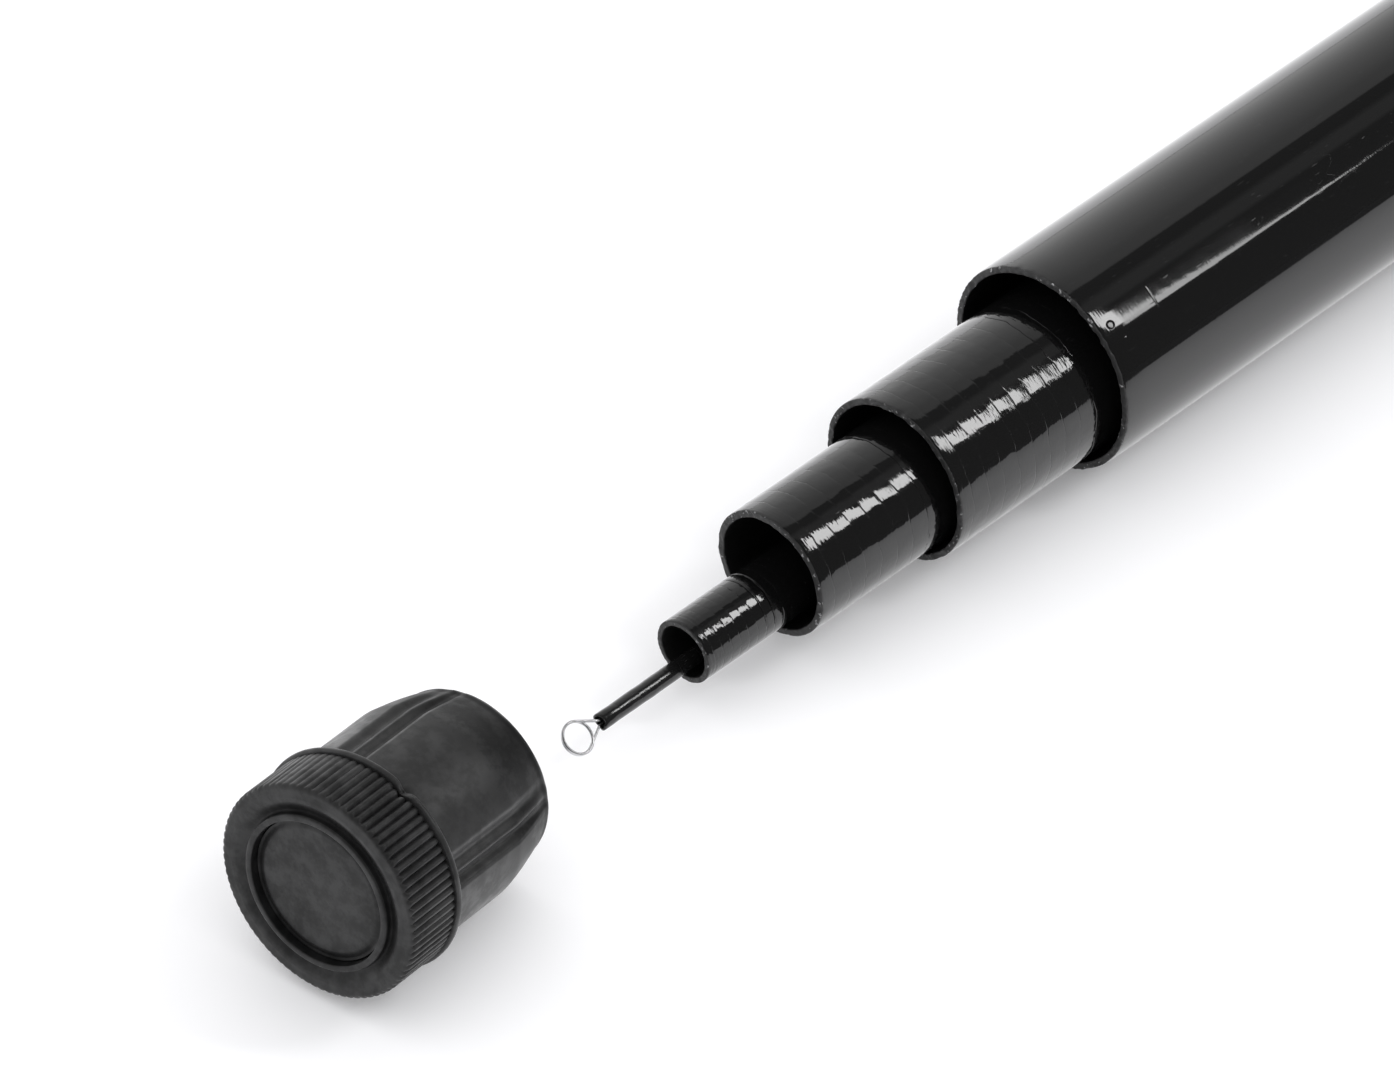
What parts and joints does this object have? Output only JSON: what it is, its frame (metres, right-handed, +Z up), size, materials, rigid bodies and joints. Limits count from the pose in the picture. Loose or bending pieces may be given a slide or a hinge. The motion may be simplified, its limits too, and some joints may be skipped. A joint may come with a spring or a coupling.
{
  "type": "telescopic float rod",
  "caption": "Telescopic float rod with blanks that slide into each other, a wire tip ring, a rubber end plug taken off the mouth, and a screw cap at the rear.",
  "frame": {"origin": "centre of the whole part's footprint, plug included, on the floor that the rod lies on", "axes": "+X along the rod towards its tip, +Y to the side, +Z up from the floor"},
  "size_m": [1.2107, 0.0342, 0.034],
  "materials": {
    "blank_lacquer": "black lacquer over a carbon fibre blank",
    "sleeve_black": "thin black sleeve, lightly glossy",
    "ring_wire": "bright drawn wire",
    "grip_rubber": "matt black shrunk grip",
    "insert_alloy": "turned, dull",
    "cap_plastic": "moulded black, satin",
    "seal_rubber": "plain black",
    "pad_foam": "closed-cell grey foam",
    "plug_rubber": "moulded black rubber, blotchy satin"
  },
  "bodies": {
    "butt": {"butt_blank": "blank_lacquer", "grip_sleeve": "grip_rubber", "insert_ring": "insert_alloy"},
    "section_4": {"section_4": "blank_lacquer"},
    "section_3": {"section_3": "blank_lacquer"},
    "section_2": {"section_2": "blank_lacquer"},
    "tip": {"tip_blank": "blank_lacquer", "tip_sleeve": "sleeve_black", "tip_ring": "ring_wire"},
    "plug": {"end_plug": "plug_rubber", "plug_disc": "plug_rubber"},
    "cap_seal": {"cap_o_ring": "seal_rubber"},
    "cap": {"butt_cap": "cap_plastic", "cushion_pad": "pad_foam"}
  },
  "joints": [
    {"name": "section_4_slide", "type": "slide", "parent": "butt", "child": "section_4", "axis": [1, 0, -0.0014], "range_m": [-0.0475, 0.937]},
    {"name": "section_3_slide", "type": "slide", "parent": "section_4", "child": "section_3", "axis": [1, 0, -0.0014], "range_m": [-0.006, 0.967]},
    {"name": "section_2_slide", "type": "slide", "parent": "section_3", "child": "section_2", "axis": [1, 0, -0.0014], "range_m": [-0.01, 0.989]},
    {"name": "tip_slide", "type": "slide", "parent": "section_2", "child": "tip", "axis": [1, 0, -0.0014], "range_m": [-0.014, 1]},
    {"name": "plug_slide", "type": "slide", "parent": "tip", "child": "plug", "axis": [1, 0, 0], "range_m": [-0.012, 0.3]},
    {"name": "cap_travel", "type": "slide", "parent": "butt", "child": "cap_seal", "axis": [-1, 0, 0.003], "range_m": [0, 0.0102]},
    {"name": "cap_turn", "type": "hinge", "parent": "cap_seal", "child": "cap", "pos_m": [-0.59878, 0, 0.01727], "axis": [-1, 0, 0.003], "range_deg": [0, 1800]}
  ],
  "couplings": [
    {"joint": "cap_travel", "follows": "cap_turn", "m_per_rad": 0.00031831}
  ]
}
